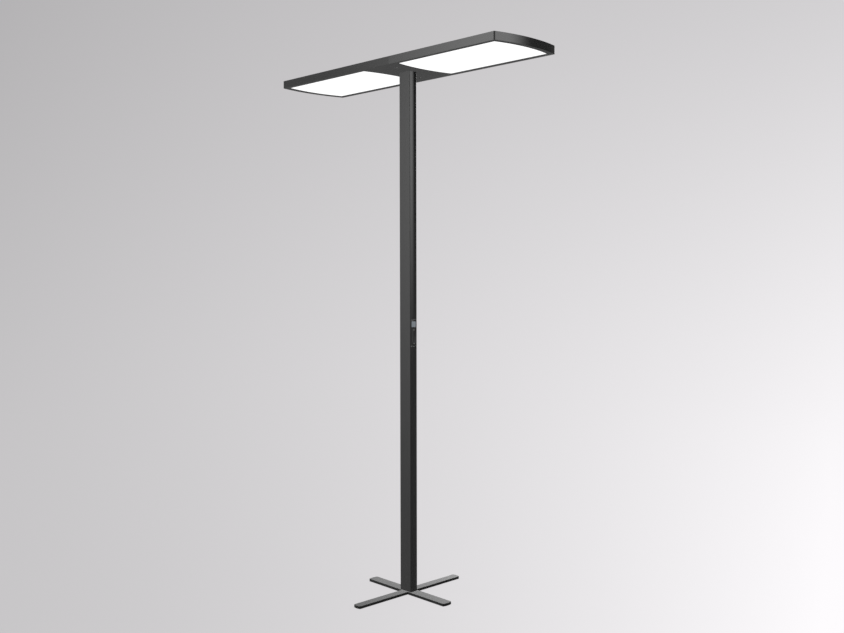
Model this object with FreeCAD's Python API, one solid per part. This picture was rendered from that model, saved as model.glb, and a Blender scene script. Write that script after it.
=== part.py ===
"""Office floor lamp: a flat, bow-ended lighting head on a slim pole with a cross-shaped foot.

Millimetres. The origin is on the floor under the pole, +Z is up and +X runs along the head.
The long side that is seen from the front faces -Y, and the control unit faces +X.
The head, the pole and the two arms of the foot share one plan form: straight sides along X
and two ends on arcs. The head's two halves are alike and turned half round about the pole.
"""

import FreeCAD
import Part
import math
import os

Vector = FreeCAD.Vector
X_AXIS = Vector(1, 0, 0)
Y_AXIS = Vector(0, 1, 0)
Z_AXIS = Vector(0, 0, 1)
ORIGIN = Vector(0, 0, 0)

# ---------------------------------------------------------------- driving dimensions

# whole lamp
total_height = 1950.0

# foot
foot_thickness = 9.4
long_arm_length = 511.0          # tip to tip, across the head
long_arm_width = 34.0
short_arm_length = 412.0         # tip to tip, along the head
short_arm_width = 42.0
arm_end_bow = 3.5
arm_corner_radius = 5.0
foot_inner_radius = 2.0
foot_edge_chamfer = 0.6
glide_diameter = 22.0
glide_thickness = 2.5
glide_proud = 0.6
glide_end_distance = 20.0        # from an arm's tip to its glide's centre

# pole
pole_width = 55.0                # corner to corner along the head
pole_depth = 33.5
pole_side_bow = 2.2
pole_corner_radius = 1.5
pole_wall = 2.5
port_spacing_x = 44.0
port_spacing_y = 19.6
port_wall = 1.95
port_length_used = 14.0

# head
head_length = 1162.0             # between the tips of the bowed ends
head_width = 302.5
head_thickness = 27.6
head_corner_radius = 5.0
band_wall = 2.5
rib_depth = 4.0
rib_thickness = 2.0
cover_thickness = 1.5
cover_recess = 0.6               # from the bands' lower edge up to the bottom cover
seam_distance = 63.4             # from the pole's axis to the seam between the bands
seam_gap = 0.5
bridge_thickness = 5.0
bridge_length = 132.0            # along the head
bridge_gap = 0.5
cover_gap = 0.2

# lighting windows in the underside
window_margin = 19.8             # dark rim along the long sides
window_inner_x = 92.5            # corners nearest the pole
window_end_margin = 17.5         # from the head's corners to the window's, along the head
window_inner_bow = 15.7
window_outer_bow = 17.5
sheet_overlap = 3.0
diffuser_thickness = 2.0
guide_thickness = 4.0
reflector_thickness = 0.8
film_gap = 0.2
led_strip_thickness = 1.6
led_strip_end_gap = 9.25         # from the window's corners
led_strip_gap = 0.4
tray_wall = 1.5
tray_gap = 0.5
tray_inner_x = 68.5

# windows for the indirect light in the top
top_window_half_width = 110.0
top_window_inner_x = 105.0
top_window_end_margin = 41.0
top_window_bow = 12.0
top_window_thickness = 2.0
uplight_board_end_gap = 22.5     # from the top window's corners
uplight_board_width = 60.0
uplight_columns = 12
uplight_chip = 3.0
uplight_chip_height = 0.7
board_thickness = 1.6

# control unit
control_height = 96.5
control_centre_z = 971.8
control_clearance = 0.2
control_proud = 0.4
control_back_x = 11.2
control_wall = 1.6
control_face_back_x = 26.0
control_corner_radius = 1.5
ledge_length = 3.0
lens_size = 24.0
lens_centre_z = 1004.0
lens_window = 20.0
lens_back_x = 27.3
lens_clearance = 0.2
key_length = 52.0
key_width = 12.0
key_centre_z = 958.5
key_back_x = 25.5
key_proud = 0.9
key_dish_depth = 0.8
key_dish_radius = 23.0           # across the key
key_dish_reach = 24.0            # from the key's centre to where the dish runs out
key_end_clearance = 0.9
key_side_clearance = 0.3
key_well_back_x = 24.0
pivot_x = 20.0
pin_radius = 1.0
pin_hold_clearance = 0.02
pin_running_clearance = 0.05
boss_half_width = 4.9
boss_radius = 3.5
lug_gap = 0.3
lug_width = 3.0
lug_radius = 4.0
switch_distance = 19.0           # from the pin to each switch
switch_size = 6.0
switch_height = 3.5
plunger_radius = 1.7
plunger_height = 1.0
nub_radius = 1.5
nub_gap = 1.2
sensor_can_radius = 4.6
sensor_can_height = 4.5
hook_width = 8.0
hook_reach = 1.4
hook_length = 3.8
hook_gap = 0.35
board_gap = 0.2
board_depth = 1.5                # from the housing's back edge to the board

# cables
control_cable_diameter = 4.0
control_cable_x = -4.0
control_cable_y = 7.0
control_cable_low_bend = 12.0
control_cable_high_bend = 10.0
supply_cable_diameter = 6.0
supply_cable_x = -9.0
supply_cable_y = -8.0
supply_cable_bend = 12.0
wire_diameter = 2.5
cable_window_x = (-13.0, 8.0)
cable_window_y = (-12.0, 11.0)

# mains inlet, low on the back of the pole
inlet_height = 40.0
inlet_bore_radius = 3.75
inlet_bore_length = 8.0
inlet_chamber_radius = 4.8
gland_flange_radius = 9.5
gland_flange_thickness = 2.5
gland_nose_radius = 6.5
gland_shank_radius = 6.0
gland_clearance = 0.1
gland_nut_radius = 8.5
gland_nut_thickness = 4.0
terminal_size = (14.0, 11.0, 26.0)
terminal_low_z = 66.0
terminal_poles = 3

# electrics in the head
driver_size = (30.0, 256.0, 13.5)
driver_x = 48.0
gear_size = (30.0, 90.0, 12.0)
gear_x = -46.0
gear_y = 49.0
block_size = (24.0, 22.0, 13.5)
block_x = -45.0
block_y = -9.0
block_poles = 5
driver_slot = (15.0, 1.5, 6.0)
driver_slot_height = 3.0
gear_corner_radius = 1.5
cable_entry_depth = 1.5          # from the top of the gear to a cable's upper side
connector_size = (8.0, 8.0, 4.0)
connector_y = 24.0
mains_wire_y = -16.0
dim_wire_y = 60.0

# brackets, posts and screws
bracket_start_x = 2.0
bracket_driver_gap = 3.0         # between a bracket's foot and the driver beside it
bracket_past_seam = 36.6
bracket_depth = 14.0
bracket_thickness = 2.0
bracket_clearance = 0.5
bracket_screw_inset = 7.0        # from the ends of a bracket's foot
post_x = 14.0
post_y = 112.0
post_radius = 4.0
post_hole_depth = 8.0
post_hole_rest = 0.5             # free depth under the screw
cover_screw_x = 36.0
cover_screw_y = -93.0

# radius of head, height of head, radius of shank, key across flats
M6_COUNTERSUNK = (6.0, 3.3, 3.0, 4.0)
M3_COUNTERSUNK = (2.75, 1.3, 1.5, 2.0)
M4_PAN = (4.0, 2.8, 2.0, 2.5)
screw_hole_clearance = 0.3
thread_clearance = 0.05
socket_depth_share = 0.6         # of the head's height
pan_round_share = 0.5
cut_margin = 1.0                 # how far a cutter passes an open face

# ---------------------------------------------------------------- levels and planes

foot_top = glide_proud + foot_thickness
underside = total_height - head_thickness
cover_face = underside + cover_recess
low_rib = cover_face + cover_thickness
bridge_low = low_rib + rib_thickness
bridge_top = bridge_low + bridge_thickness
cover_low = total_height - cover_thickness
high_rib = cover_low - rib_thickness
diffuser_low = low_rib
guide_low = diffuser_low + diffuser_thickness + film_gap
reflector_low = guide_low + guide_thickness + film_gap
tray_web_low = reflector_low + reflector_thickness + film_gap
tray_top = tray_web_low + tray_wall
head_inner_half = head_width / 2 - band_wall
head_corner_x = math.sqrt(head_length ** 2 - head_width ** 2) / 2
window_outer_x = head_corner_x - window_end_margin
top_window_outer_x = head_corner_x - top_window_end_margin
uplight_board_x = (top_window_inner_x + top_window_outer_x) / 2
uplight_board_length = top_window_outer_x - top_window_inner_x - 2 * uplight_board_end_gap
pole_inner_half = pole_depth / 2 - pole_wall
pole_tip_x = pole_width / 2 + pole_side_bow
control_low = control_centre_z - control_height / 2
control_high = control_centre_z + control_height / 2
control_front_x = pole_tip_x + control_proud + key_proud + cut_margin
control_half_width = pole_inner_half - control_clearance
bracket_foot_end_x = driver_x - driver_size[0] / 2 - bracket_driver_gap
bracket_leg_end_x = seam_distance + bracket_past_seam
bracket_screw_x = (bracket_start_x + bracket_screw_inset, bracket_foot_end_x - bracket_screw_inset)
bracket_screw_y = bracket_thickness + (bracket_depth - bracket_thickness) / 2 - head_inner_half
board_front_x = control_back_x + board_depth + board_thickness
board_back_x = board_front_x - board_thickness


# ---------------------------------------------------------------- plain shapes

def box(x, y, z):
    """A block between the two values given for each axis."""
    return Part.makeBox(x[1] - x[0], y[1] - y[0], z[1] - z[0], Vector(x[0], y[0], z[0]))


def block(centre_x, centre_y, low_z, size):
    """A block of the given size that stands on low_z."""
    half_x, half_y = size[0] / 2, size[1] / 2
    return box((centre_x - half_x, centre_x + half_x), (centre_y - half_y, centre_y + half_y),
               (low_z, low_z + size[2]))


def rod(radius, start, axis, length):
    return Part.makeCylinder(radius, length, start, axis)


def line(start, end):
    return Part.makeLine(start, end)


def arc(start, middle, end):
    return Part.Arc(start, middle, end).toShape()


def turned_half(shape):
    """A copy turned half round about the pole's axis."""
    copy = shape.copy()
    copy.rotate(ORIGIN, Z_AXIS, 180)
    return copy


def upright_edges(shape):
    """The straight edges that run along Z."""
    found = []
    for edge in shape.Edges:
        first, last = edge.Vertexes[0].Point, edge.Vertexes[-1].Point
        if math.hypot(last.x - first.x, last.y - first.y) < 1e-6 < abs(last.z - first.z):
            found.append(edge)
    return found


# ---------------------------------------------------------------- the shared plan form

def bowed_end(corner_x, half_width, bow):
    """Centre and radius of the arc through both corners at corner_x, with its tip bow further out."""
    radius = (half_width ** 2 + bow ** 2) / (2 * bow)
    return corner_x + bow - radius, radius


def bowed_slab(half_width, right, left, low, high, inset=0.0, corner_radius=0.0):
    """A slab with straight sides at +-half_width. right and left are the arcs of its ends, each
    a centre and a radius; left is given as if it were on the right and the slab mirrored."""
    half = half_width - inset

    def corner_and_tip(end):
        centre, radius = end
        reach = radius - inset
        return centre + math.sqrt(reach ** 2 - half ** 2), centre + reach

    right_corner, right_tip = corner_and_tip(right)
    left_corner, left_tip = corner_and_tip(left)
    a = Vector(-left_corner, -half, low)
    b = Vector(right_corner, -half, low)
    c = Vector(right_corner, half, low)
    d = Vector(-left_corner, half, low)
    outline = Part.Wire([line(a, b), arc(b, Vector(right_tip, 0, low), c),
                         line(c, d), arc(d, Vector(-left_tip, 0, low), a)])
    slab = Part.Face(outline).extrude(Vector(0, 0, high - low))
    if corner_radius > 0:
        slab = slab.makeFillet(corner_radius, upright_edges(slab))
    return slab


def head_slab(low, high, inset=0.0, corner_radius=0.0):
    """The head's own plan: its ends are arcs about the pole's axis."""
    end = (0.0, head_length / 2)
    return bowed_slab(head_width / 2, end, end, low, high, inset, corner_radius)


def pole_slab(low, high, inset=0.0, corner_radius=0.0):
    end = bowed_end(pole_width / 2, pole_depth / 2, pole_side_bow)
    return bowed_slab(pole_depth / 2, end, end, low, high, inset, corner_radius)


def light_window(low, high, inset=0.0):
    """The lighting window on the right of the pole; both its ends bow outwards."""
    half_width = head_width / 2 - window_margin
    outer = bowed_end(window_outer_x, half_width, window_outer_bow)
    inner = bowed_end(-window_inner_x, half_width, window_inner_bow)
    return bowed_slab(half_width, outer, inner, low, high, inset)


def top_light_window(low, high, inset=0.0):
    outer = bowed_end(top_window_outer_x, top_window_half_width, top_window_bow)
    inner = bowed_end(-top_window_inner_x, top_window_half_width, top_window_bow)
    return bowed_slab(top_window_half_width, outer, inner, low, high, inset)


def upright_stadium(x, centre_z, length, width):
    """A round-ended bar that stands along Z, between the two values given for x."""
    half = width / 2
    reach = length / 2 - half
    low_left = Vector(x[0], -half, centre_z - reach)
    low_right = Vector(x[0], half, centre_z - reach)
    high_right = Vector(x[0], half, centre_z + reach)
    high_left = Vector(x[0], -half, centre_z + reach)
    outline = Part.Wire([arc(low_left, Vector(x[0], 0, centre_z - length / 2), low_right),
                         line(low_right, high_right),
                         arc(high_right, Vector(x[0], 0, centre_z + length / 2), high_left),
                         line(high_left, low_left)])
    return Part.Face(outline).extrude(Vector(x[1] - x[0], 0, 0))


# ---------------------------------------------------------------- screws and cables

def hexagon(across_flats, depth):
    radius = across_flats / math.sqrt(3)
    points = [Vector(radius * math.cos(math.radians(60 * k)), radius * math.sin(math.radians(60 * k)), 0)
              for k in range(7)]
    return Part.Face(Part.makePolygon(points)).extrude(Vector(0, 0, depth))


def place(shape, x, y, z, pointing_up):
    """Moves a shape that was made along +Z from the origin, and turns it over if it points down."""
    if not pointing_up:
        shape.rotate(ORIGIN, X_AXIS, 180)
    shape.translate(Vector(x, y, z))
    return shape


def countersunk_screw(kind, length, x, y, z, pointing_up):
    """A screw whose flat head face is at z."""
    head_radius, head_height, shank_radius, key_size = kind
    screw = Part.makeCone(head_radius, shank_radius, head_height)
    screw = screw.fuse(rod(shank_radius, ORIGIN, Z_AXIS, length))
    screw = screw.cut(hexagon(key_size, head_height * socket_depth_share))
    return place(screw, x, y, z, pointing_up)


def pan_screw(kind, length, x, y, z, pointing_up):
    """A screw whose domed head stands off the face at z."""
    head_radius, head_height, shank_radius, key_size = kind
    head = rod(head_radius, Vector(0, 0, -head_height), Z_AXIS, head_height)
    rim = [edge for edge in head.Edges if abs(edge.CenterOfMass.z + head_height) < 1e-6]
    head = head.makeFillet(head_height * pan_round_share, rim)
    socket = hexagon(key_size, head_height * socket_depth_share)
    socket.translate(Vector(0, 0, -head_height))
    screw = head.fuse(rod(shank_radius, ORIGIN, Z_AXIS, length)).cut(socket)
    return place(screw, x, y, z, pointing_up)


def countersunk_hole(kind, depth, x, y, z, pointing_up):
    """The cutter for a countersunk clearance hole."""
    head_radius, head_height, shank_radius, key_size = kind
    cutter = Part.makeCone(head_radius + screw_hole_clearance, shank_radius + screw_hole_clearance,
                           head_height)
    cutter = cutter.fuse(rod(shank_radius + screw_hole_clearance, ORIGIN, Z_AXIS, depth))
    return place(cutter, x, y, z, pointing_up)


def unit(vector):
    return Vector(vector).normalize()


def cable(diameter, points, bends):
    """A round cable along straight runs joined by tangent arcs, one bend radius for each corner."""
    edges = []
    start = points[0]
    for before, corner, after, bend in zip(points, points[1:], points[2:], bends):
        back = unit(before - corner)
        onward = unit(after - corner)
        half_angle = back.getAngle(onward) / 2
        setback = bend / math.tan(half_angle)
        middle = corner + unit(back + onward) * (bend / math.sin(half_angle) - bend)
        edges.append(line(start, corner + back * setback))
        edges.append(arc(corner + back * setback, middle, corner + onward * setback))
        start = corner + onward * setback
    edges.append(line(start, points[-1]))
    section = Part.Wire([Part.makeCircle(diameter / 2, points[0], points[1] - points[0])])
    return Part.Wire(edges).makePipeShell([section], True, False)


def port_places():
    """The four screw ports of the pole, on plan."""
    return [(sx * port_spacing_x / 2, sy * port_spacing_y / 2) for sx in (-1, 1) for sy in (-1, 1)]


# ---------------------------------------------------------------- foot

def arm_end(length, width):
    return bowed_end(length / 2 - arm_end_bow, width / 2, arm_end_bow)


def arm(length, width):
    end = arm_end(length, width)
    return bowed_slab(width / 2, end, end, glide_proud, foot_top, 0.0, arm_corner_radius)


def glide_places():
    short_reach = short_arm_length / 2 - glide_end_distance
    long_reach = long_arm_length / 2 - glide_end_distance
    return [(short_reach, 0), (-short_reach, 0), (0, long_reach), (0, -long_reach)]


def make_base_plate():
    long_arm = arm(long_arm_length, long_arm_width)
    long_arm.rotate(ORIGIN, Z_AXIS, 90)
    plate = arm(short_arm_length, short_arm_width).fuse(long_arm).removeSplitter()
    inner = [edge for edge in upright_edges(plate)
             if math.hypot(edge.CenterOfMass.x, edge.CenterOfMass.y) < max(long_arm_width, short_arm_width)]
    plate = plate.makeFillet(foot_inner_radius, inner)
    top_rim = [edge for edge in plate.Edges
               if all(abs(vertex.Point.z - foot_top) < 1e-6 for vertex in edge.Vertexes)]
    plate = plate.makeChamfer(foot_edge_chamfer, top_rim)
    for x, y in glide_places():
        seat_depth = glide_thickness - glide_proud
        plate = plate.cut(rod(glide_diameter / 2, Vector(x, y, glide_proud), Z_AXIS, seat_depth))
    for x, y in port_places():
        plate = plate.cut(countersunk_hole(M6_COUNTERSUNK, foot_thickness, x, y, glide_proud, True))
    return plate


def make_floor_glides():
    return Part.makeCompound([rod(glide_diameter / 2, Vector(x, y, 0), Z_AXIS, glide_thickness)
                              for x, y in glide_places()])


def make_base_screws():
    length = foot_thickness + port_length_used
    return Part.makeCompound([countersunk_screw(M6_COUNTERSUNK, length, x, y, glide_proud, True)
                              for x, y in port_places()])


# ---------------------------------------------------------------- pole

def make_pole_profile():
    low, high = foot_top, bridge_low
    profile = pole_slab(low, high, 0.0, pole_corner_radius)
    cavity = pole_slab(low, high, pole_wall)
    port_radius = M6_COUNTERSUNK[2] + thread_clearance
    for x, y in port_places():
        cavity = cavity.cut(rod(port_radius + port_wall, Vector(x, y, low), Z_AXIS, high - low))
    profile = profile.cut(cavity)
    for x, y in port_places():
        profile = profile.cut(rod(port_radius, Vector(x, y, low), Z_AXIS, high - low))
    pocket = box((control_back_x - control_clearance, pole_tip_x + control_proud),
                 (-pole_inner_half, pole_inner_half),
                 (control_low - control_clearance, control_high + control_clearance))
    profile = profile.cut(pocket)
    inlet_hole = rod(gland_shank_radius + gland_clearance, Vector(0, 0, inlet_height), Y_AXIS, pole_depth)
    return profile.cut(inlet_hole)


def make_inlet_gland():
    """A flanged gland: the stated bore is in its nose, outside the pole, with a wider chamber behind."""
    back = pole_depth / 2
    bore_start = back + gland_flange_thickness
    nut_face = pole_inner_half - gland_nut_thickness
    gland = rod(gland_flange_radius, Vector(0, back, inlet_height), Y_AXIS, gland_flange_thickness)
    gland = gland.fuse(rod(gland_nose_radius, Vector(0, back, inlet_height), Y_AXIS,
                           gland_flange_thickness + inlet_bore_length))
    gland = gland.fuse(rod(gland_shank_radius, Vector(0, nut_face, inlet_height), Y_AXIS, back - nut_face))
    gland = gland.cut(rod(inlet_chamber_radius, Vector(0, nut_face, inlet_height), Y_AXIS,
                          bore_start - nut_face))
    return gland.cut(rod(inlet_bore_radius, Vector(0, bore_start, inlet_height), Y_AXIS, inlet_bore_length))


def make_gland_nut():
    nut = hexagon(2 * gland_nut_radius, gland_nut_thickness)
    nut.rotate(ORIGIN, X_AXIS, -90)
    nut.translate(Vector(0, pole_inner_half - gland_nut_thickness, inlet_height))
    hole = rod(gland_shank_radius + thread_clearance, Vector(0, 0, inlet_height), Y_AXIS, pole_depth)
    return nut.cut(hole)


def make_inlet_terminal():
    """A terminal block against the inside of the pole's front wall, above the gland."""
    depth = terminal_size[1]
    body = block(supply_cable_x, depth / 2 - pole_inner_half, terminal_low_z, terminal_size)
    pitch = terminal_size[0] / terminal_poles
    for k in range(terminal_poles):
        x = supply_cable_x + (k - (terminal_poles - 1) / 2) * pitch
        entry = Vector(x, depth / 2 - pole_inner_half, terminal_low_z)
        body = body.cut(rod(wire_diameter / 2, entry, Z_AXIS, pitch))
    return body


def make_supply_riser():
    start = Vector(supply_cable_x, supply_cable_y, terminal_low_z + terminal_size[2])
    level = bridge_top + block_size[2] - supply_cable_diameter / 2 - cable_entry_depth
    corner = Vector(supply_cable_x, supply_cable_y, level)
    end = Vector(block_x + block_size[0] / 2, supply_cable_y, level)
    return cable(supply_cable_diameter, [start, corner, end], [supply_cable_bend])


# ---------------------------------------------------------------- control unit

def make_control_housing():
    face = pole_slab(control_low, control_high, -control_proud)
    outer = box((control_back_x, control_front_x), (-control_half_width, control_half_width),
                (control_low, control_high))
    across = [edge for edge in outer.Edges
              if abs(edge.Vertexes[0].Point.x - edge.Vertexes[-1].Point.x) > control_wall]
    outer = outer.makeFillet(control_corner_radius, across)
    housing = outer.common(face)
    inner_half = control_half_width - control_wall
    hollow = box((control_back_x, control_face_back_x), (-inner_half, inner_half),
                 (control_low + control_wall, control_high - control_wall))
    for low in (control_low + control_wall, control_high - control_wall - ledge_length):
        hollow = hollow.cut(box((board_front_x, control_face_back_x), (-inner_half, inner_half),
                                (low, low + ledge_length)))
    housing = housing.cut(hollow)
    for side in (-1, 1):
        near = side * (boss_half_width + lug_gap)
        far = near + side * lug_width
        lug = rod(lug_radius, Vector(pivot_x, min(near, far), key_centre_z), Y_AXIS, lug_width)
        web = box((pivot_x, control_face_back_x), (min(near, far), max(near, far)),
                  (key_centre_z - lug_radius, key_centre_z + lug_radius))
        housing = housing.fuse(lug.fuse(web))
    seat_half = lens_size / 2 + lens_clearance
    housing = housing.cut(box((lens_back_x, control_front_x), (-seat_half, seat_half),
                              (lens_centre_z - seat_half, lens_centre_z + seat_half)))
    view_half = lens_window / 2
    housing = housing.cut(box((control_face_back_x - cut_margin, lens_back_x + cut_margin),
                              (-view_half, view_half),
                              (lens_centre_z - view_half, lens_centre_z + view_half)))
    housing = housing.cut(upright_stadium((key_well_back_x, control_front_x), key_centre_z,
                                          key_length + 2 * key_end_clearance,
                                          key_width + 2 * key_side_clearance))
    pin_line_start = Vector(pivot_x, -control_half_width, key_centre_z)
    housing = housing.cut(rod(pin_radius + pin_hold_clearance, pin_line_start, Y_AXIS,
                              2 * control_half_width))
    hook_face = pole_tip_x - pole_wall - hook_gap
    for edge_z, way in ((control_high, 1), (control_low, -1)):
        low, high = sorted((edge_z - way * control_wall, edge_z + way * hook_reach))
        housing = housing.fuse(box((hook_face - hook_length, hook_face), (-hook_width / 2, hook_width / 2),
                                   (low, high)))
    return housing.removeSplitter()


def make_sensor_lens():
    half = lens_size / 2
    plate = box((lens_back_x, control_front_x), (-half, half),
                (lens_centre_z - half, lens_centre_z + half))
    return plate.common(pole_slab(lens_centre_z - half, lens_centre_z + half, -control_proud))


def make_rocker_key():
    """A round-ended key with a shallow finger dish, that rocks on a boss behind its middle."""
    half_length = key_length / 2
    face = pole_slab(key_centre_z - half_length, key_centre_z + half_length, -(control_proud + key_proud))
    key = upright_stadium((key_back_x, control_front_x), key_centre_z, key_length, key_width).common(face)
    dish_bottom = pole_tip_x + control_proud + key_proud - key_dish_depth
    long_radius = (key_dish_reach ** 2 + key_dish_depth ** 2) / (2 * key_dish_depth)
    dish = Part.makeTorus(long_radius - key_dish_radius, key_dish_radius,
                          Vector(dish_bottom + long_radius, 0, key_centre_z), Y_AXIS)
    key = key.cut(dish)
    boss = rod(boss_radius, Vector(pivot_x, -boss_half_width, key_centre_z), Y_AXIS, 2 * boss_half_width)
    web = box((pivot_x, key_back_x), (-boss_half_width, boss_half_width),
              (key_centre_z - boss_radius, key_centre_z + boss_radius))
    key = key.fuse(boss).fuse(web)
    nub_tip = board_front_x + switch_height + plunger_height + nub_gap
    for way in (-1, 1):
        foot = Vector(nub_tip, 0, key_centre_z + way * switch_distance)
        key = key.fuse(rod(nub_radius, foot, X_AXIS, key_back_x - nub_tip))
    hole = rod(pin_radius + pin_running_clearance, Vector(pivot_x, -boss_half_width, key_centre_z), Y_AXIS,
               2 * boss_half_width)
    return key.cut(hole).removeSplitter()


def make_rocker_pin():
    half_length = boss_half_width + lug_gap + lug_width
    return rod(pin_radius, Vector(pivot_x, -half_length, key_centre_z), Y_AXIS, 2 * half_length)


def make_control_board():
    half = control_half_width - control_wall - board_gap
    return box((board_back_x, board_front_x), (-half, half),
               (control_low + control_wall + board_gap, control_high - control_wall - board_gap))


def make_key_switches():
    switches = []
    half = switch_size / 2
    for way in (-1, 1):
        z = key_centre_z + way * switch_distance
        body = box((board_front_x, board_front_x + switch_height), (-half, half), (z - half, z + half))
        plunger = rod(plunger_radius, Vector(board_front_x + switch_height, 0, z), X_AXIS, plunger_height)
        switches.append(body.fuse(plunger))
    return Part.makeCompound(switches)


def make_motion_sensor():
    return rod(sensor_can_radius, Vector(board_front_x, 0, lens_centre_z), X_AXIS, sensor_can_height)


def make_control_cable():
    low = control_low + control_wall + control_cable_low_bend
    level = bridge_top + gear_size[2] - control_cable_diameter / 2 - cable_entry_depth
    points = [Vector(board_back_x, control_cable_y, low),
              Vector(control_cable_x, control_cable_y, low),
              Vector(control_cable_x, control_cable_y, level),
              Vector(gear_x + gear_size[0] / 2, control_cable_y, level)]
    return cable(control_cable_diameter, points, [control_cable_low_bend, control_cable_high_bend])


# ---------------------------------------------------------------- head: frame and covers

def make_frame_band_right():
    """A bent band with a rib above each cover. Its front leg ends at the seam on the right of the
    pole, and its back leg, as on the other band, ends at the seam on the left."""
    band = head_slab(underside, total_height, 0.0, head_corner_radius)
    band = band.cut(head_slab(underside, total_height, band_wall, head_corner_radius - band_wall))
    rib_outer = head_corner_radius - band_wall
    for low in (low_rib, high_rib):
        rib = head_slab(low, low + rib_thickness, band_wall, rib_outer)
        rib = rib.cut(head_slab(low, low + rib_thickness, band_wall + rib_depth))
        band = band.fuse(rib)
    half_gap = seam_gap / 2
    reach = head_length
    front = box((seam_distance + half_gap, reach), (-reach, 0), (underside, total_height))
    back = box((half_gap - seam_distance, reach), (0, reach), (underside, total_height))
    return band.common(front.fuse(back)).removeSplitter()


def make_seam_bracket():
    """The front bracket: a foot on the bridge and a leg on the band that runs across the seam."""
    wall = -head_inner_half
    leg_top = high_rib - bracket_clearance
    foot = box((bracket_start_x, bracket_foot_end_x), (wall, wall + bracket_depth),
               (bridge_top, bridge_top + bracket_thickness))
    leg = box((bracket_start_x, bracket_foot_end_x), (wall, wall + bracket_thickness),
              (bridge_top, leg_top))
    long_leg = box((bracket_start_x, bracket_leg_end_x), (wall, wall + bracket_thickness),
                   (tray_top + bracket_clearance, leg_top))
    bracket = foot.fuse(leg).fuse(long_leg).removeSplitter()
    for x in bracket_screw_x:
        hole = rod(M4_PAN[2] + screw_hole_clearance, Vector(x, bracket_screw_y, bridge_top), Z_AXIS,
                   bracket_thickness)
        bracket = bracket.cut(hole)
    return bracket


def make_seam_brackets():
    bracket = make_seam_bracket()
    return Part.makeCompound([bracket, turned_half(bracket)])


def make_bracket_screws():
    screws = []
    for x in bracket_screw_x:
        screw = pan_screw(M4_PAN, bracket_thickness + bridge_thickness, x, bracket_screw_y,
                          bridge_top + bracket_thickness, False)
        screws += [screw, turned_half(screw)]
    return Part.makeCompound(screws)


def make_bridge_plate():
    """The plate that stands on the pole and on the bands' lower ribs."""
    half_y = head_inner_half - bridge_gap
    plate = box((-bridge_length / 2, bridge_length / 2), (-half_y, half_y), (bridge_low, bridge_top))
    for x, y in port_places():
        plate = plate.cut(countersunk_hole(M6_COUNTERSUNK, bridge_thickness, x, y, bridge_top, False))
    plate = plate.cut(box(cable_window_x, cable_window_y, (bridge_low, bridge_top)))
    threads = [(cover_screw_x, cover_screw_y)] + [(x, bracket_screw_y) for x in bracket_screw_x]
    for x, y in threads:
        hole = rod(M4_PAN[2] + thread_clearance, Vector(x, y, bridge_low), Z_AXIS, bridge_thickness)
        plate = plate.cut(hole).cut(turned_half(hole))
    return plate


def make_bridge_screws():
    length = bridge_thickness + port_length_used
    return Part.makeCompound([countersunk_screw(M6_COUNTERSUNK, length, x, y, bridge_top, False)
                              for x, y in port_places()])


def cover_slab(low):
    return head_slab(low, low + cover_thickness, band_wall + cover_gap,
                     head_corner_radius - band_wall - cover_gap)


def make_bottom_cover():
    cover = cover_slab(cover_face)
    window = light_window(cover_face, low_rib)
    cover = cover.cut(window).cut(turned_half(window))
    cover = cover.cut(pole_slab(cover_face, low_rib, -cover_gap, pole_corner_radius))
    hole = rod(M4_PAN[2] + screw_hole_clearance, Vector(cover_screw_x, cover_screw_y, cover_face), Z_AXIS,
               cover_thickness)
    return cover.cut(hole).cut(turned_half(hole))


def make_cover_screws():
    length = low_rib + rib_thickness + bridge_thickness - thread_clearance - cover_face
    screw = pan_screw(M4_PAN, length, cover_screw_x, cover_screw_y, cover_face, True)
    return Part.makeCompound([screw, turned_half(screw)])


def post_places():
    return [(sx * post_x, sy * post_y) for sx in (-1, 1) for sy in (-1, 1)]


def make_top_cover():
    cover = cover_slab(cover_low)
    window = top_light_window(cover_low, total_height)
    cover = cover.cut(window).cut(turned_half(window))
    for x, y in post_places():
        cover = cover.cut(countersunk_hole(M3_COUNTERSUNK, cover_thickness, x, y, total_height, False))
    return cover


def make_cover_posts():
    posts = []
    for x, y in post_places():
        post = rod(post_radius, Vector(x, y, bridge_top), Z_AXIS, cover_low - bridge_top)
        hole = rod(M3_COUNTERSUNK[2] + thread_clearance, Vector(x, y, cover_low - post_hole_depth), Z_AXIS,
                   post_hole_depth)
        posts.append(post.cut(hole))
    return Part.makeCompound(posts)


def make_top_screws():
    length = cover_thickness + post_hole_depth - post_hole_rest
    return Part.makeCompound([countersunk_screw(M3_COUNTERSUNK, length, x, y, total_height, False)
                              for x, y in post_places()])


# ---------------------------------------------------------------- head: optics, right half

def make_diffuser():
    return light_window(diffuser_low, diffuser_low + diffuser_thickness, -sheet_overlap)


def make_light_guide():
    return light_window(guide_low, guide_low + guide_thickness, -sheet_overlap)


def make_reflector():
    return light_window(reflector_low, reflector_low + reflector_thickness, -sheet_overlap)


def make_led_strips():
    """Upright strips that shine into the light guide's two long edges."""
    near = head_width / 2 - window_margin + sheet_overlap + led_strip_gap
    x = (window_inner_x + led_strip_end_gap, window_outer_x - led_strip_end_gap)
    z = (low_rib, tray_web_low - film_gap)
    return Part.makeCompound([box(x, (near, near + led_strip_thickness), z),
                              box(x, (-near - led_strip_thickness, -near), z)])


def make_light_tray():
    """A shallow lid over the optics. Its skirt stands on the band's lower rib."""
    gap = band_wall + tray_gap
    outer = head_slab(bridge_low, tray_top, gap, head_corner_radius - gap)
    outer = outer.common(box((tray_inner_x, head_length), (-head_width, head_width),
                             (bridge_low, tray_top)))
    inner = head_slab(bridge_low, tray_web_low, gap + tray_wall)
    inner = inner.common(box((tray_inner_x + tray_wall, head_length), (-head_width, head_width),
                             (bridge_low, tray_web_low)))
    return outer.cut(inner)


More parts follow.
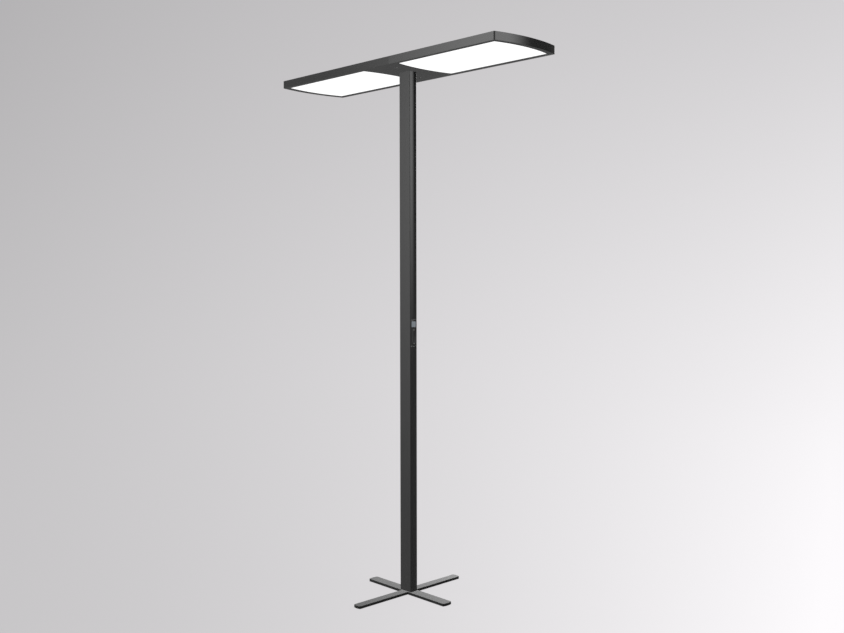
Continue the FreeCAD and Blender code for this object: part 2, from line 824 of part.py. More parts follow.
def make_uplight_board():
    """A board on the tray with two rows of light sources and a connector."""
    board_size = (uplight_board_length, uplight_board_width, board_thickness)
    board = block(uplight_board_x, 0, tray_top, board_size)
    top = tray_top + board_thickness
    pitch = uplight_board_length / uplight_columns
    chips = []
    for row in (-1, 1):
        for column in range(uplight_columns):
            x = uplight_board_x + (column - (uplight_columns - 1) / 2) * pitch
            chips.append(block(x, row * uplight_board_width / 4, top,
                               (uplight_chip, uplight_chip, uplight_chip_height)))
    chips.append(block(connector_x(), connector_y, top, connector_size))
    return board.multiFuse(chips)


def connector_x():
    return uplight_board_x - uplight_board_length / 2 + connector_size[0] / 2


def make_top_window():
    return top_light_window(cover_low - top_window_thickness, cover_low, -sheet_overlap)


# ---------------------------------------------------------------- head: electrics

def make_led_driver():
    driver = block(driver_x, 0, bridge_top, driver_size)
    for side in (-1, 1):
        y = side * driver_size[1] / 2
        driver = driver.cut(block(driver_x, y, bridge_top + driver_slot_height, driver_slot))
    return driver


def make_control_gear():
    gear = block(gear_x, gear_y, bridge_top, gear_size)
    return gear.makeFillet(gear_corner_radius, upright_edges(gear))


def make_terminal_block():
    body = block(block_x, block_y, bridge_top, block_size)
    pitch = block_size[1] / block_poles
    for k in range(block_poles):
        y = block_y + (k - (block_poles - 1) / 2) * pitch
        top = Vector(block_x, y, bridge_top + block_size[2] - pitch)
        body = body.cut(rod(wire_diameter / 2, top, Z_AXIS, pitch))
    return body


def make_head_wiring():
    """Leads from the driver to both boards, and its mains and dimming wires."""
    level = tray_top + board_thickness + connector_size[2] / 2
    driver_right = driver_x + driver_size[0] / 2
    driver_left = driver_x - driver_size[0] / 2
    board_end = uplight_board_x - uplight_board_length / 2
    runs = [(driver_right, board_end, connector_y, level),
            (-board_end, driver_left, -connector_y, level),
            (block_x + block_size[0] / 2, driver_left, mains_wire_y, bridge_top + wire_diameter),
            (gear_x + gear_size[0] / 2, driver_left, dim_wire_y, bridge_top + wire_diameter)]
    return Part.makeCompound([rod(wire_diameter / 2, Vector(start, y, z), X_AXIS, end - start)
                              for start, end, y, z in runs])


# ---------------------------------------------------------------- write the parts

def make_all():
    nodes = {
        "base_plate": make_base_plate(),
        "floor_glides": make_floor_glides(),
        "base_screws": make_base_screws(),
        "pole_profile": make_pole_profile(),
        "inlet_gland": make_inlet_gland(),
        "gland_nut": make_gland_nut(),
        "inlet_terminal": make_inlet_terminal(),
        "supply_riser": make_supply_riser(),
        "control_housing": make_control_housing(),
        "sensor_lens": make_sensor_lens(),
        "rocker_key": make_rocker_key(),
        "rocker_pin": make_rocker_pin(),
        "control_board": make_control_board(),
        "key_switches": make_key_switches(),
        "motion_sensor": make_motion_sensor(),
        "control_cable": make_control_cable(),
        "seam_brackets": make_seam_brackets(),
        "bracket_screws": make_bracket_screws(),
        "bridge_plate": make_bridge_plate(),
        "bridge_screws": make_bridge_screws(),
        "bottom_cover": make_bottom_cover(),
        "cover_screws": make_cover_screws(),
        "top_cover": make_top_cover(),
        "cover_posts": make_cover_posts(),
        "top_screws": make_top_screws(),
        "led_driver": make_led_driver(),
        "control_gear": make_control_gear(),
        "terminal_block": make_terminal_block(),
        "head_wiring": make_head_wiring(),
    }
    halves = {
        "frame_band": make_frame_band_right(),
        "diffuser": make_diffuser(),
        "light_guide": make_light_guide(),
        "reflector": make_reflector(),
        "led_strips": make_led_strips(),
        "light_tray": make_light_tray(),
        "uplight_board": make_uplight_board(),
        "top_window": make_top_window(),
    }
    for name, shape in halves.items():
        nodes[name + "_right"] = shape
        nodes[name + "_left"] = turned_half(shape)
    return nodes


os.makedirs("parts", exist_ok=True)
for node, shape in make_all().items():
    shape.exportStep("parts/" + node + ".step")
    bounds = shape.BoundBox
    print("%-20s solids %2d  valid %s  %8.1f cm3  z %7.1f to %7.1f"
          % (node, len(shape.Solids), shape.isValid(), shape.Volume / 1000, bounds.ZMin, bounds.ZMax))
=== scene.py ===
"""Office floor lamp: its finishes, the fine detail of its control unit, the studio and the camera.

Sizes are in metres, in the lamp's own frame: the origin is on the floor under the pole, +Z is up,
+X runs along the head, towards the pole's side with the control unit, and the photographed long
side of the head faces -Y.
"""

import bmesh
import bpy
import math
from mathutils import Matrix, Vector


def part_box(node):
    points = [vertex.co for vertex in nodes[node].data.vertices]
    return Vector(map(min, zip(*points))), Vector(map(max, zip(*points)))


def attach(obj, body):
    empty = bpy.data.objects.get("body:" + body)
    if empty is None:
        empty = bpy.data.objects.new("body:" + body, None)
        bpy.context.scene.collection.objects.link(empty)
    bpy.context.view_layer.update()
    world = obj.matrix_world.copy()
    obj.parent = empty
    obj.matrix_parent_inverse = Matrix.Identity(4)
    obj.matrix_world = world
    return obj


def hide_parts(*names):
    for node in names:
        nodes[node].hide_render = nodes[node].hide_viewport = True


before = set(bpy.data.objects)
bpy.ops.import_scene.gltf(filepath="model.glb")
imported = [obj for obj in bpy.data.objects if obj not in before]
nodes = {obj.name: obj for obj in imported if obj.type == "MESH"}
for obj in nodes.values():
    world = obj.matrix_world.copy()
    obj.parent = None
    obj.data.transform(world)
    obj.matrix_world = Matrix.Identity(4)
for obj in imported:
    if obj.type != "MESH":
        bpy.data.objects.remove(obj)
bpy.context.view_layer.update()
scene = bpy.context.scene

MM = 0.001

# ---------------------------------------------------------------- camera

CAMERA_PLACE = (2.6587, -2.4710, 1.1914)
CAMERA_HEADING = 46.297          # degrees, anticlockwise from +Y
CAMERA_PITCH = -2.523            # degrees above the horizon
CAMERA_ROLL = -0.078
FOCAL_LENGTH = 41.98             # millimetres
SENSOR_WIDTH = 36.0              # millimetres
NEAREST_SEEN = 0.05
FURTHEST_SEEN = 100.0


def make_camera():
    """The camera that took the photograph, from a perspective fit to the lamp's edges."""
    data = bpy.data.cameras.new("camera")
    data.lens = FOCAL_LENGTH
    data.sensor_width = SENSOR_WIDTH
    data.clip_start = NEAREST_SEEN
    data.clip_end = FURTHEST_SEEN
    camera = bpy.data.objects.new("camera", data)
    scene.collection.objects.link(camera)
    turn = (Matrix.Rotation(math.radians(CAMERA_HEADING), 4, "Z")
            @ Matrix.Rotation(math.radians(90 + CAMERA_PITCH), 4, "X")
            @ Matrix.Rotation(math.radians(CAMERA_ROLL), 4, "Z"))
    camera.matrix_world = Matrix.Translation(CAMERA_PLACE) @ turn
    scene.camera = camera


# ---------------------------------------------------------------- shader helpers

EVEN = (1.0, 1.0, 1.0)


class Shader:
    """A node tree with short calls for the few nodes that the finishes and the studio use."""

    def __init__(self, owner):
        owner.use_nodes = True
        self.tree = owner.node_tree
        self.tree.nodes.clear()

    def node(self, kind, **settings):
        made = self.tree.nodes.new("ShaderNode" + kind)
        for name, value in settings.items():
            setattr(made, name, value)
        return made

    def link(self, source, target):
        self.tree.links.new(source, target)

    def feed(self, value, socket):
        """Links an output to the socket, or sets a plain value on it."""
        if isinstance(value, bpy.types.NodeSocket):
            self.link(value, socket)
        else:
            socket.default_value = value

    def math(self, operation, first, second=0.0):
        """The operation's result on one or two outputs or plain numbers."""
        made = self.node("Math", operation=operation)
        self.feed(first, made.inputs[0])
        self.feed(second, made.inputs[1])
        return made.outputs[0]

    def ramp(self, value, start, end, low=0.0, high=1.0):
        """low before start, high after end, and a soft step between them."""
        made = self.node("MapRange", interpolation_type="SMOOTHSTEP")
        self.feed(value, made.inputs["Value"])
        made.inputs["From Min"].default_value = start
        made.inputs["From Max"].default_value = end
        made.inputs["To Min"].default_value = low
        made.inputs["To Max"].default_value = high
        return made.outputs["Result"]

    def place(self, stretch=EVEN):
        """The surface's place in the lamp's frame, in metres, scaled along each axis."""
        mapping = self.node("Mapping")
        mapping.inputs["Scale"].default_value = stretch
        self.link(self.node("TexCoord").outputs["Object"], mapping.inputs["Vector"])
        return mapping.outputs["Vector"]

    def noise(self, size, detail, stretch):
        """Noise whose grains are about this size along an axis with a stretch of 1."""
        made = self.node("TexNoise")
        made.inputs["Scale"].default_value = 1.0 / size
        made.inputs["Detail"].default_value = detail
        self.link(self.place(stretch), made.inputs["Vector"])
        return made.outputs["Fac"]

    def blend(self, share, first, second):
        """A colour between two, by share. The sockets are the Mix node's ones for colours."""
        made = self.node("Mix", data_type="RGBA")
        self.link(share, made.inputs[0])
        made.inputs[6].default_value = opaque(first)
        made.inputs[7].default_value = opaque(second)
        return made.outputs[2]

    def bump(self, height, depth):
        """A normal for relief of this depth."""
        made = self.node("Bump")
        made.inputs["Distance"].default_value = depth
        self.link(height, made.inputs["Height"])
        return made.outputs["Normal"]

    def finish_with(self, surface, kind="OutputMaterial"):
        """Ends the tree with this node's first output."""
        self.link(surface.outputs[0], self.node(kind).inputs["Surface"])


def opaque(colour):
    return (*colour, 1.0)


def grey(value):
    return (value, value, value)


# ---------------------------------------------------------------- finishes

ALONG_X = (0.02, 1.0, 1.0)       # a stretch for extruded grain that runs along X
ALONG_Z = (1.0, 1.0, 0.02)
MOTTLE_DETAIL = 3.0              # octaves of noise
MOTTLE_SPAN = (0.35, 0.65)       # noise values between which the colour drifts
GRAIN_DETAIL = 2.0
GRAIN_SPAN = (0.3, 0.7)          # noise values between which the roughness varies

PANEL_GLOW = 1.0
PANEL_COLOURS = ((0.86, 0.86, 0.86), (0.78, 0.78, 0.79))     # in a prism's middle, at its edge
PANEL_ROUGHNESS = 0.45
PRISM_SIZE = 0.9 * MM
PRISM_DEPTH = 0.05 * MM
COOL_WHITE = (1.0, 1.0, 1.0)
WARM_WHITE = (1.0, 0.985, 0.96)

# Colours and roughnesses give the photograph's brightness under this studio's light.
FINISHES = {
    "foot_coat": dict(dark=grey(0.007), light=grey(0.014), mottle=2.4 * MM, grain=0.7 * MM,
                      depth=0.02 * MM, roughness=0.20, spread=0.06, ior=1.3),
    "pole_satin": dict(dark=grey(0.0135), light=grey(0.0165), mottle=3.0 * MM, grain=0.35 * MM,
                       depth=0.002 * MM, roughness=0.15, spread=0.02, stretch=ALONG_Z),
    "band_satin": dict(dark=grey(0.0135), light=grey(0.0165), mottle=3.0 * MM, grain=0.35 * MM,
                       depth=0.002 * MM, roughness=0.15, spread=0.02, stretch=ALONG_X, ior=1.56),
    "left_band_satin": dict(dark=grey(0.0115), light=grey(0.0145), mottle=3.0 * MM,
                            grain=0.35 * MM, depth=0.002 * MM, roughness=0.15, spread=0.02,
                            stretch=ALONG_X, ior=1.48),
    "cover_coat": dict(dark=grey(0.0135), light=grey(0.0175), mottle=4.0 * MM, grain=0.5 * MM,
                       depth=0.004 * MM, roughness=0.20, spread=0.03),
    "housing_plastic": dict(dark=grey(0.013), light=grey(0.018), mottle=2.0 * MM, grain=0.25 * MM,
                            depth=0.006 * MM, roughness=0.26, spread=0.03, ior=1.38),
    "key_plastic": dict(dark=grey(0.014), light=grey(0.018), mottle=1.5 * MM, grain=0.2 * MM,
                        depth=0.004 * MM, roughness=0.20, spread=0.03, ior=1.4),
    "dark_steel": dict(dark=grey(0.10), light=grey(0.15), mottle=1.2 * MM, grain=0.25 * MM,
                       depth=0.01 * MM, roughness=0.34, spread=0.07, metallic=1.0),
    "gland_plastic": dict(dark=grey(0.010), light=grey(0.014), mottle=2.0 * MM, grain=0.3 * MM,
                          depth=0.015 * MM, roughness=0.42, spread=0.05),
    "glide_rubber": dict(dark=grey(0.008), light=grey(0.014), mottle=3.0 * MM, grain=0.4 * MM,
                         depth=0.04 * MM, roughness=0.75, spread=0.08),
    "zinc_steel": dict(dark=(0.46, 0.46, 0.47), light=(0.60, 0.60, 0.60), mottle=1.2 * MM,
                       grain=0.25 * MM, depth=0.01 * MM, roughness=0.30, spread=0.07, metallic=1.0),
    "raw_aluminium": dict(dark=(0.50, 0.51, 0.52), light=(0.62, 0.62, 0.63), mottle=8.0 * MM,
                          grain=0.6 * MM, depth=0.01 * MM, roughness=0.38, spread=0.06,
                          stretch=ALONG_X, metallic=1.0),
    "white_foil": dict(dark=grey(0.78), light=grey(0.86), mottle=6.0 * MM, grain=0.4 * MM,
                       depth=0.01 * MM, roughness=0.6),
    "acrylic": dict(dark=(0.80, 0.83, 0.84), light=(0.86, 0.88, 0.88), mottle=10.0 * MM,
                    grain=0.8 * MM, depth=0.01 * MM, roughness=0.12, spread=0.03),
    "white_laminate": dict(dark=grey(0.66), light=grey(0.76), mottle=3.0 * MM, grain=0.3 * MM,
                           depth=0.01 * MM, roughness=0.45),
    "green_laminate": dict(dark=(0.010, 0.070, 0.028), light=(0.016, 0.110, 0.045),
                           mottle=1.6 * MM, grain=0.3 * MM, depth=0.02 * MM, roughness=0.38),
    "switch_plastic": dict(dark=grey(0.020), light=grey(0.030), mottle=1.0 * MM, grain=0.2 * MM,
                           depth=0.01 * MM, roughness=0.42),
    "terminal_plastic": dict(dark=grey(0.60), light=grey(0.68), mottle=2.0 * MM, grain=0.3 * MM,
                             depth=0.01 * MM, roughness=0.48),
    "gear_case": dict(dark=grey(0.55), light=grey(0.64), mottle=5.0 * MM, grain=0.4 * MM,
                      depth=0.02 * MM, roughness=0.5),
    "cable_jacket": dict(dark=grey(0.018), light=grey(0.030), mottle=2.0 * MM, grain=0.4 * MM,
                         depth=0.03 * MM, roughness=0.55),
    "wire_jacket": dict(dark=grey(0.42), light=grey(0.52), mottle=1.5 * MM, grain=0.3 * MM,
                        depth=0.02 * MM, roughness=0.5),
    "lens_plastic": dict(dark=(0.208, 0.236, 0.264), light=(0.254, 0.282, 0.310), mottle=0.9 * MM,
                         grain=0.15 * MM, depth=0.004 * MM, roughness=0.34, spread=0.04),
    # The ring round the key: light grey as a painted highlight on the key's edge.
    "key_highlight_paint": dict(dark=grey(0.12), light=grey(0.15), mottle=0.6 * MM, grain=0.12 * MM,
                        depth=0.004 * MM, roughness=0.5),
}

# The record's material slots.
FINISH_OF_SLOT = {
    "foot_steel": "foot_coat",
    "black_aluminium": "cover_coat",
    "plain_aluminium": "raw_aluminium",
    "bright_steel": "zinc_steel",
    "black_rubber": "glide_rubber",
    "black_plastic": "housing_plastic",
    "key_plastic": "key_plastic",
    "lens_plastic": "lens_plastic",
    "opal_panel": "opal_panel",
    "clear_acrylic": "acrylic",
    "white_sheet": "white_foil",
    "white_board": "white_laminate",
    "green_board": "green_laminate",
    "switch_plastic": "switch_plastic",
    "terminal_plastic": "terminal_plastic",
    "gear_case": "gear_case",
    "cable_jacket": "cable_jacket",
    "wire_jacket": "wire_jacket",
}

# Nodes that look different from the rest of their slot.
FINISH_OF_NODE = {
    "pole_profile": "pole_satin",
    "frame_band_right": "band_satin",
    "frame_band_left": "left_band_satin",
    "cover_screws": "dark_steel",
    "inlet_gland": "gland_plastic",
    "gland_nut": "gland_plastic",
    "top_window_right": "top_opal",
    "top_window_left": "top_opal",
}


def finish(name, dark, light, mottle, grain, depth, roughness, spread=0.06,
           stretch=EVEN, metallic=0.0, ior=1.5):
    """A surface whose colour drifts between dark and light over mottle, with a fine relief of
    grain and depth, and a roughness that varies by spread."""
    material = bpy.data.materials.new(name)
    shader = Shader(material)
    surface = shader.node("BsdfPrincipled")
    drift = shader.ramp(shader.noise(mottle, MOTTLE_DETAIL, stretch), *MOTTLE_SPAN)
    shader.link(shader.blend(drift, dark, light), surface.inputs["Base Color"])
    fine = shader.noise(grain, GRAIN_DETAIL, stretch)
    shader.link(shader.ramp(fine, *GRAIN_SPAN, roughness - spread, roughness + spread),
                surface.inputs["Roughness"])
    shader.link(shader.bump(fine, depth), surface.inputs["Normal"])
    surface.inputs["Metallic"].default_value = metallic
    surface.inputs["IOR"].default_value = ior
    shader.finish_with(surface)
    return material


def glowing(name, colour):
    """Opal plastic that is lit from behind, with a fine prismatic texture."""
    material = bpy.data.materials.new(name)
    shader = Shader(material)
    surface = shader.node("BsdfPrincipled")
    prisms = shader.node("TexVoronoi")
    prisms.inputs["Scale"].default_value = 1.0 / PRISM_SIZE
    prisms.inputs["Randomness"].default_value = 0.0
    shader.link(shader.place(), prisms.inputs["Vector"])
    outwards = prisms.outputs["Distance"]
    shader.link(shader.blend(outwards, *PANEL_COLOURS), surface.inputs["Base Color"])
    shader.link(shader.bump(outwards, PRISM_DEPTH), surface.inputs["Normal"])
    surface.inputs["Roughness"].default_value = PANEL_ROUGHNESS
    surface.inputs["Emission Color"].default_value = opaque(colour)
    surface.inputs["Emission Strength"].default_value = PANEL_GLOW
    shader.finish_with(surface)
    return material


def make_materials():
    """All materials by their names."""
    made = {name: finish(name, **values) for name, values in FINISHES.items()}
    made["opal_panel"] = glowing("opal_panel", COOL_WHITE)
    made["top_opal"] = glowing("top_opal", WARM_WHITE)
    return made


def dress_nodes(materials):
    """Every CAD node gets the finish of its slot, or the one named for the node itself."""
    for name, node in nodes.items():
        for slot in node.material_slots:
            chosen = FINISH_OF_NODE.get(name) or FINISH_OF_SLOT[slot.material.name]
            slot.material = materials[chosen]


def soften_mirroring():
    """Keeps the pieces out of each other's reflections: the photograph shows none of them."""
    for node in nodes.values():
        node.visible_glossy = False


# ---------------------------------------------------------------- control unit

POLE_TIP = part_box("pole_profile")[1]
POLE_SIDE_BOW = 2.2 * MM
POLE_SIDE_RADIUS = (POLE_TIP.y ** 2 + POLE_SIDE_BOW ** 2) / (2 * POLE_SIDE_BOW)
SHARP_DEGREES = 35.0             # edges that turn by more than this stay crisp

LENS_INSET = 1.9 * MM            # from the edge of the CAD lens
LENS_FACE_PROUD = 0.4 * MM       # of the pole's side, as for all the heights named proud
LENS_RIM = 1.2 * MM
LENS_EDGE_ROUND = 0.25 * MM
LENS_CELLS = 5                   # in a row and in a column
LENS_CELL_STEPS = 8
LENS_GROOVE = 0.45 * MM
NO_DISTANCE = 1e-7

FRAME_OUTSET = 1.8 * MM          # beyond the lens all round
FRAME_LAP = 0.2 * MM             # under the lens's rim
FRAME_PROUD = 0.2 * MM
FRAME_DEPTH = 1.5 * MM
FRAME_STEPS = 8

KEY_PROUD = 1.3 * MM
# The ring round the key, whose light colour is a painted highlight.
KEY_RIM_HEIGHT = 0.1 * MM        # above the key's face, and as much below it
KEY_RIM_WIDTH = 0.8 * MM
KEY_RIM_INSET = 0.1 * MM
KEY_END_STEPS = 16


def side_face_x(y, proud):
    """How far the pole's bowed +X side lies from the axis at y, with a surface this proud of it."""
    return POLE_TIP.x - POLE_SIDE_RADIUS + math.sqrt((POLE_SIDE_RADIUS + proud) ** 2 - y ** 2)


def add_piece(name, builder, body, material):
    """A new piece from a bmesh, which moves with the body and has this material slot."""
    bmesh.ops.recalc_face_normals(builder, faces=builder.faces)
    mesh = bpy.data.meshes.new(name)
    builder.to_mesh(mesh)
    builder.free()
    mesh.polygons.foreach_set("use_smooth", [True] * len(mesh.polygons))
    mesh.set_sharp_from_angle(angle=math.radians(SHARP_DEGREES))
    mesh.materials.append(material)
    piece = bpy.data.objects.new(name, mesh)
    scene.collection.objects.link(piece)
    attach(piece, body)
    return piece


def evenly(start, end, steps):
    """Numbers from start to end, both included."""
    return [start + (end - start) * i / steps for i in range(steps + 1)]


def place_in_cell(offset, field):
    """Where a point lies in its cell of the lens's grid: -1 and 1 at the edges, 0 in the middle."""
    if abs(abs(offset) - field) < NO_DISTANCE:
        return 1.0
    return 2 * (((offset + field) * LENS_CELLS / (2 * field)) % 1.0) - 1


def lens_depth(y, z, half):
    """How far the lens's front lies behind its smooth bowed face: grooves between pillow cells."""
    field = half - LENS_RIM
    furthest = max(abs(y), abs(z))
    if furthest > field:
        return LENS_EDGE_ROUND * max(0.0, 1 - (half - furthest) / LENS_EDGE_ROUND) ** 2
    across, upward = place_in_cell(y, field), place_in_cell(z, field)
    return LENS_GROOVE * (1 - (1 - across ** 4) * (1 - upward ** 4))


def lens_size():
    """The visible lens: half its side, and the height of its middle."""
    low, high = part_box("sensor_lens")
    return (high.y - low.y) / 2 - LENS_INSET, (low.z + high.z) / 2


def make_lens(materials):
    """The motion sensor's lens: a square plate with a grid of pillow facets."""
    half, middle_z = lens_size()
    field = half - LENS_RIM
    stations = evenly(-half, LENS_EDGE_ROUND - half, 2)
    stations += evenly(-field, field, LENS_CELLS * LENS_CELL_STEPS)
    stations += evenly(half - LENS_EDGE_ROUND, half, 2)
    builder = bmesh.new()

    def front(y, z):
        x = side_face_x(y, LENS_FACE_PROUD) - lens_depth(y, z, half)
        return builder.verts.new((x, y, middle_z + z))

    rows = [[front(y, z) for y in stations] for z in stations]
    for lower, upper in zip(rows, rows[1:]):
        for i in range(len(stations) - 1):
            builder.faces.new((lower[i], lower[i + 1], upper[i + 1], upper[i]))
    right_side = [row[-1] for row in rows[1:]]
    top_side = rows[-1][-2::-1]
    left_side = [row[0] for row in rows[-2:0:-1]]
    rim = rows[0] + right_side + top_side + left_side
    back_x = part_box("sensor_lens")[0].x
    back = [builder.verts.new((back_x, vertex.co.y, vertex.co.z)) for vertex in rim]
    for i in range(len(rim)):
        following = (i + 1) % len(rim)
        builder.faces.new((rim[following], rim[i], back[i], back[following]))
    builder.faces.new(back[::-1])
    piece = add_piece("lens_facets", builder, "stand", materials["lens_plastic"])
    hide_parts("sensor_lens")


def make_lens_frame(materials):
    """The dark square frame between the lens and the housing."""
    half, middle_z = lens_size()
    inner, outer = half - FRAME_LAP, half + FRAME_OUTSET
    stations = [-outer, *evenly(-inner, inner, FRAME_STEPS), outer]
    last = len(stations) - 2
    corners = {}
    builder = bmesh.new()

    def corner(i, row):
        if (i, row) not in corners:
            y, z = stations[i], stations[row]
            corners[i, row] = builder.verts.new((side_face_x(y, FRAME_PROUD), y, middle_z + z))
        return corners[i, row]

    for row in range(last + 1):
        for i in range(last + 1):
            if row in (0, last) or i in (0, last):
                builder.faces.new((corner(i, row), corner(i + 1, row),
                                   corner(i + 1, row + 1), corner(i, row + 1)))
    copied = bmesh.ops.extrude_face_region(builder, geom=builder.faces[:])["geom"]
    for element in copied:
        if isinstance(element, bmesh.types.BMVert):
            element.co.x -= FRAME_DEPTH
    add_piece("lens_frame", builder, "stand", materials["housing_plastic"])


def stadium(length, width):
    """Points of an upright round-ended outline, as pairs of y and z, anticlockwise."""
    radius = width / 2
    straight_half = length / 2 - radius
    points = []
    for centre, start in ((straight_half, 0), (-straight_half, 180)):
        for degrees in evenly(start, start + 180, KEY_END_STEPS):
            angle = math.radians(degrees)
            points.append((radius * math.cos(angle), centre + radius * math.sin(angle)))
    return points


def make_key_highlight_ring(materials):
    """A thin ring round the rocker key, on its edge, which tips with it; its light grey colour is a
    painted highlight on the key's edge.
    """
    low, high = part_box("rocker_key")
    middle_z = (low.z + high.z) / 2
    length, width = high.z - low.z, high.y - low.y
    builder = bmesh.new()

    def loop(inset, height):
        return [builder.verts.new((side_face_x(y, KEY_PROUD) + height, y, middle_z + z))
                for y, z in stadium(length - 2 * inset, width - 2 * inset)]

    inner_inset = KEY_RIM_INSET + KEY_RIM_WIDTH
    loops = (loop(KEY_RIM_INSET, -KEY_RIM_HEIGHT), loop(KEY_RIM_INSET, KEY_RIM_HEIGHT),
             loop(inner_inset, KEY_RIM_HEIGHT), loop(inner_inset, -KEY_RIM_HEIGHT))
    for near, far in zip(loops, loops[1:] + loops[:1]):
        for i in range(len(near)):
            following = (i + 1) % len(near)
            builder.faces.new((near[i], near[following], far[following], far[i]))
    add_piece("key_highlight_ring", builder, "key", materials["key_highlight_paint"])


# ---------------------------------------------------------------- studio

FLOOR_RADIUS = 6.0
SWEEP_RADIUS = 5.0
WALL_TOP = 14.0
SWEEP_STEPS = 24
ROUND_STEPS = 96

# The backdrop's glow, with painted light and shade: its level at the lamp, and its change per metre
# away from the lamp and upwards.
BACKDROP_LEVEL = (0.735, -0.0075, -0.028)
BACKDROP_PAINTED_SLOPE = (0.48, -0.011, -0.030)      # brighter to the right, by the tangent of the angle
BACKDROP_PAINTED_SAG = (-0.066, 0.006, 0.007)        # darker in the middle than at its sides
ANGLES_FROM = 3.6                            # in front of the lamp, where those angles start
MIRROR_BEHIND = 0.5                          # from the lamp to where the backdrop repeats itself
WIDEST_TANGENT = 0.43
BACKDROP_TINT = (1.0, 0.979, 1.0)
BACKDROP_MATT = (0.03, 0.03, 0.03)

# In degrees: the azimuths, anticlockwise from +X, and the elevations at which each soft box
# begins, is full, fades and ends. Then its level.
SOFT_BOXES = (
    ((-8.0, 10.0, 27.0, 51.0), (-5.0, 9.0, 50.0, 75.0), 3.4),        # seen in the +X faces
    ((218.0, 230.5, 240.0, 254.0), (-17.0, 7.0, 50.0, 75.0), 3.3),   # in the -Y faces, on the right
    ((170.0, 200.0, 232.0, 256.0), (-60.0, -30.0, 50.0, 75.0), 0.60),    # in all the -Y faces
    ((90.0, 110.0, 160.0, 180.0), (-75.0, -50.0, -6.0, 4.0), 0.145),     # in the head's underside
    ((-70.0, -20.0, 80.0, 120.0), (-75.0, -50.0, -2.0, 8.0), 0.14),      # in the pole's lower half
    ((92.0, 108.0, 127.0, 152.0), (-6.0, 10.0, 12.0, 28.0), 4.55),       # in the foot's top
    ((77.0, 90.0, 112.0, 122.0), (-30.0, -12.0, 20.0, 40.0), 0.9),       # for the back
    ((150.0, 168.0, 196.0, 212.0), (-30.0, -12.0, 30.0, 50.0), 0.3),     # for the left end
    ((258.0, 276.0, 326.0, 346.0), (-30.0, -12.0, 50.0, 75.0), 0.65),    # for the front
)
OVERHEAD = (24.0, 46.0, 1.7)     # the elevations where it begins and is full, and its level
AMBIENT = 0.09


def make_world():
    """Soft boxes all round and overhead, in a dim room."""
    world = bpy.data.worlds.new("studio")
    scene.world = world
    shader = Shader(world)
    direction = shader.node("TexCoord").outputs["Generated"]
    split = shader.node("SeparateXYZ")
    shader.link(direction, split.inputs[0])

    def over_height(low, high, before, after):
        sines = [math.sin(math.radians(elevation)) for elevation in (low, high)]
        return shader.ramp(split.outputs["Z"], *sines, before, after)

    def along(azimuth):
        """The part of the direction that points to this azimuth."""
        part = shader.node("VectorMath", operation="DOT_PRODUCT")
        shader.link(direction, part.inputs[0])
        part.inputs[1].default_value = (math.cos(azimuth), math.sin(azimuth), 0.0)
        return part.outputs["Value"]

    start, full, level = OVERHEAD
    total = shader.math("ADD", AMBIENT, over_height(start, full, 0.0, level))
    for azimuths, elevations, level in SOFT_BOXES:
        middle = math.radians(sum(azimuths) / len(azimuths))
        turned = shader.math("ARCTAN2", along(middle + math.pi / 2), along(middle))
        begin, full, fade, end = [math.radians(azimuth) - middle for azimuth in azimuths]
        across = shader.math("MULTIPLY", shader.ramp(turned, begin, full, 0.0, level),
                             shader.ramp(turned, fade, end, 1.0, 0.0))
        begin, full, fade, end = elevations
        upright = shader.math("MULTIPLY", over_height(begin, full, 0.0, 1.0),
                              over_height(fade, end, 1.0, 0.0))
        total = shader.math("ADD", total, shader.math("MULTIPLY", across, upright))
    background = shader.node("Background")
    shader.link(total, background.inputs["Strength"])
    shader.finish_with(background, "OutputWorld")


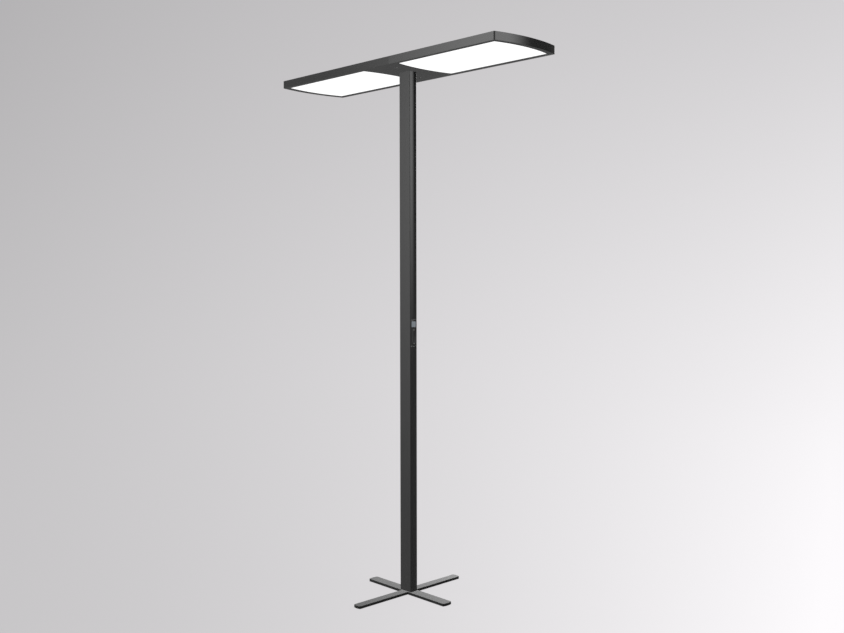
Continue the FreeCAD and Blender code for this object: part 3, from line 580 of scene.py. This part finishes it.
def painted_backdrop_material():
    """A pale sweep that glows by itself, with painted light and shade: brighter to the right,
    darker upwards and away from the lamp, and darker in its middle than at its sides. A faint matt
    part takes real shadows.
    """
    material = bpy.data.materials.new("backdrop")
    shader = Shader(material)
    split = shader.node("SeparateXYZ")
    shader.link(shader.node("TexCoord").outputs["Object"], split.inputs[0])
    across, along, upward = split.outputs
    mirrored = shader.math("ABSOLUTE", shader.math("ADD", along, MIRROR_BEHIND))
    away = shader.math("SUBTRACT", mirrored, MIRROR_BEHIND)

    def over_place(at_lamp, outwards, up):
        """A level that changes with the distance from the lamp and with the height."""
        near = shader.math("ADD", at_lamp, shader.math("MULTIPLY", away, outwards))
        return shader.math("ADD", near, shader.math("MULTIPLY", upward, up))

    tangent = shader.math("DIVIDE", across, shader.math("ADD", away, ANGLES_FROM))
    tangent = shader.math("MINIMUM", tangent, WIDEST_TANGENT)
    tangent = shader.math("MAXIMUM", tangent, -WIDEST_TANGENT)
    squared = shader.math("POWER", shader.math("DIVIDE", tangent, WIDEST_TANGENT), 2.0)
    slope = shader.math("MULTIPLY", tangent, over_place(*BACKDROP_PAINTED_SLOPE))
    sag = shader.math("MULTIPLY", over_place(*BACKDROP_PAINTED_SAG), shader.math("SUBTRACT", 1.0, squared))
    level = shader.math("ADD", over_place(*BACKDROP_LEVEL), slope)
    level = shader.math("ADD", level, sag)
    # The glow's strength carries the painted light and shade on the backdrop.
    glow = shader.node("Emission")
    glow.inputs["Color"].default_value = opaque(BACKDROP_TINT)
    shader.link(level, glow.inputs["Strength"])
    matt = shader.node("BsdfDiffuse")
    matt.inputs["Color"].default_value = opaque(BACKDROP_MATT)
    both = shader.node("AddShader")
    shader.link(glow.outputs[0], both.inputs[0])
    shader.link(matt.outputs[0], both.inputs[1])
    shader.finish_with(both)
    return material


def make_backdrop():
    """A round floor that sweeps up into a wall all round."""
    profile = [(FLOOR_RADIUS, 0.0)]
    for angle in evenly(0.0, math.pi / 2, SWEEP_STEPS)[1:]:
        profile.append((FLOOR_RADIUS + SWEEP_RADIUS * math.sin(angle),
                        SWEEP_RADIUS * (1 - math.cos(angle))))
    profile.append((FLOOR_RADIUS + SWEEP_RADIUS, WALL_TOP))
    turns = evenly(0.0, 2 * math.pi, ROUND_STEPS)[:-1]
    builder = bmesh.new()
    rings = [[builder.verts.new((radius * math.cos(turn), radius * math.sin(turn), z))
              for turn in turns] for radius, z in profile]
    builder.faces.new(rings[0])
    builder.faces.new(rings[-1][::-1])
    for lower, upper in zip(rings, rings[1:]):
        for i in range(ROUND_STEPS):
            following = (i + 1) % ROUND_STEPS
            builder.faces.new((lower[i], upper[i], upper[following], lower[following]))
    mesh = bpy.data.meshes.new("backdrop")
    builder.to_mesh(mesh)
    builder.free()
    mesh.polygons.foreach_set("use_smooth", [True] * len(mesh.polygons))
    mesh.materials.append(painted_backdrop_material())
    backdrop = bpy.data.objects.new("backdrop", mesh)
    scene.collection.objects.link(backdrop)
    backdrop.rotation_euler.z = math.radians(CAMERA_HEADING)
    backdrop.visible_diffuse = False
    backdrop.visible_glossy = False
    backdrop.visible_transmission = False
    backdrop.visible_shadow = False


# ---------------------------------------------------------------- everything

scene.view_settings.view_transform = "Standard"
make_camera()
materials = make_materials()
dress_nodes(materials)
soften_mirroring()
make_lens(materials)
make_lens_frame(materials)
make_key_highlight_ring(materials)
make_world()
make_backdrop()

bpy.context.view_layer.update()
